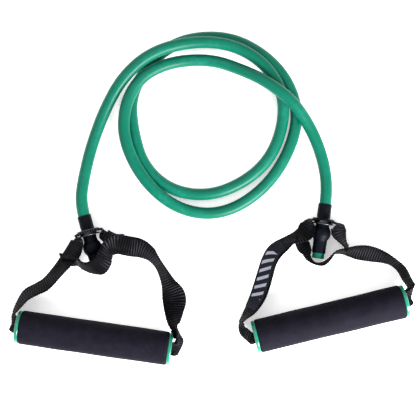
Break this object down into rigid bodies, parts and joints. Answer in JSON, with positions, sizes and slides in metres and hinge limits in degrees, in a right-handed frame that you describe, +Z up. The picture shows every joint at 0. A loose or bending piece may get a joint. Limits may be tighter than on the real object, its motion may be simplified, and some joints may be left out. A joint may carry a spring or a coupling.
{
  "type": "resistance band",
  "caption": "Rubber exercise tube in loose turns with a stirrup handle at each end: ball-stopped tube end, eyelet, webbing strap and rolling foam grip",
  "frame": {"origin": "on the floor under the middle of the box round both handles, measured without the free tube", "axes": "+X from the left handle to the right handle, +Y from the handles towards the tube's turns, +Z up from the floor it lies on"},
  "size_m": [0.3226, 0.2669, 0.027],
  "materials": {
    "tube_rubber": "satin moulded latex, slightly chalky",
    "tube_end_rubber": "satin, cut ends",
    "sleeve_rubber": "satin heat-shrunk sleeve",
    "plug_plastic": "matte",
    "eyelet_metal": "satin nickel",
    "grip_foam": "matte fine closed-cell foam",
    "core_plastic": "matte",
    "cap_plastic": "gloss",
    "webbing": "ribbed woven webbing",
    "thread": "twisted thread",
    "label": "smooth satin woven label"
  },
  "bodies": {
    "tube": {"tube": "tube_rubber", "left_tube_end": "tube_end_rubber", "left_sleeve": "sleeve_rubber", "left_ball_plug": "plug_plastic", "right_tube_end": "tube_end_rubber", "right_sleeve": "sleeve_rubber", "right_ball_plug": "plug_plastic"},
    "left_eyelet": {"left_eyelet": "eyelet_metal", "left_eyelet_washer": "eyelet_metal"},
    "left_strap": {"left_strap_front": "webbing", "left_strap_core": "webbing", "left_strap_back": "webbing", "left_stitching": "thread"},
    "left_grip": {"left_foam_grip": "grip_foam", "left_grip_core": "core_plastic", "left_outer_cap": "cap_plastic", "left_inner_cap": "cap_plastic"},
    "right_eyelet": {"right_eyelet": "eyelet_metal", "right_eyelet_washer": "eyelet_metal"},
    "right_strap": {"right_strap_front": "webbing", "right_strap_core": "webbing", "right_strap_back": "webbing", "right_stitching": "thread", "right_label": "label"},
    "right_grip": {"right_foam_grip": "grip_foam", "right_grip_core": "core_plastic", "right_outer_cap": "cap_plastic", "right_inner_cap": "cap_plastic"}
  },
  "joints": [
    {"name": "left_slide", "type": "slide", "parent": "tube", "child": "left_eyelet", "axis": [0.2588, -0.9659, 0], "range_m": [0, 0.0048]},
    {"name": "left_swivel", "type": "hinge", "parent": "left_eyelet", "child": "left_strap", "pos_m": [-0.099, 0.041, 0.0105], "axis": [0.2588, -0.9659, 0], "continuous": true},
    {"name": "left_roll", "type": "hinge", "parent": "left_strap", "child": "left_grip", "pos_m": [-0.094, -0.0426, 0.0135], "axis": [0.9895, -0.1444, 0], "continuous": true},
    {"name": "right_slide", "type": "slide", "parent": "tube", "child": "right_eyelet", "axis": [-0.1392, -0.9903, 0], "range_m": [0, 0.0019]},
    {"name": "right_swivel", "type": "hinge", "parent": "right_eyelet", "child": "right_strap", "pos_m": [0.088, 0.05, 0.0105], "axis": [-0.1392, -0.9903, 0], "continuous": true},
    {"name": "right_roll", "type": "hinge", "parent": "right_strap", "child": "right_grip", "pos_m": [0.0932, -0.0275, 0.0135], "axis": [0.9724, 0.2334, 0], "continuous": true}
  ]
}
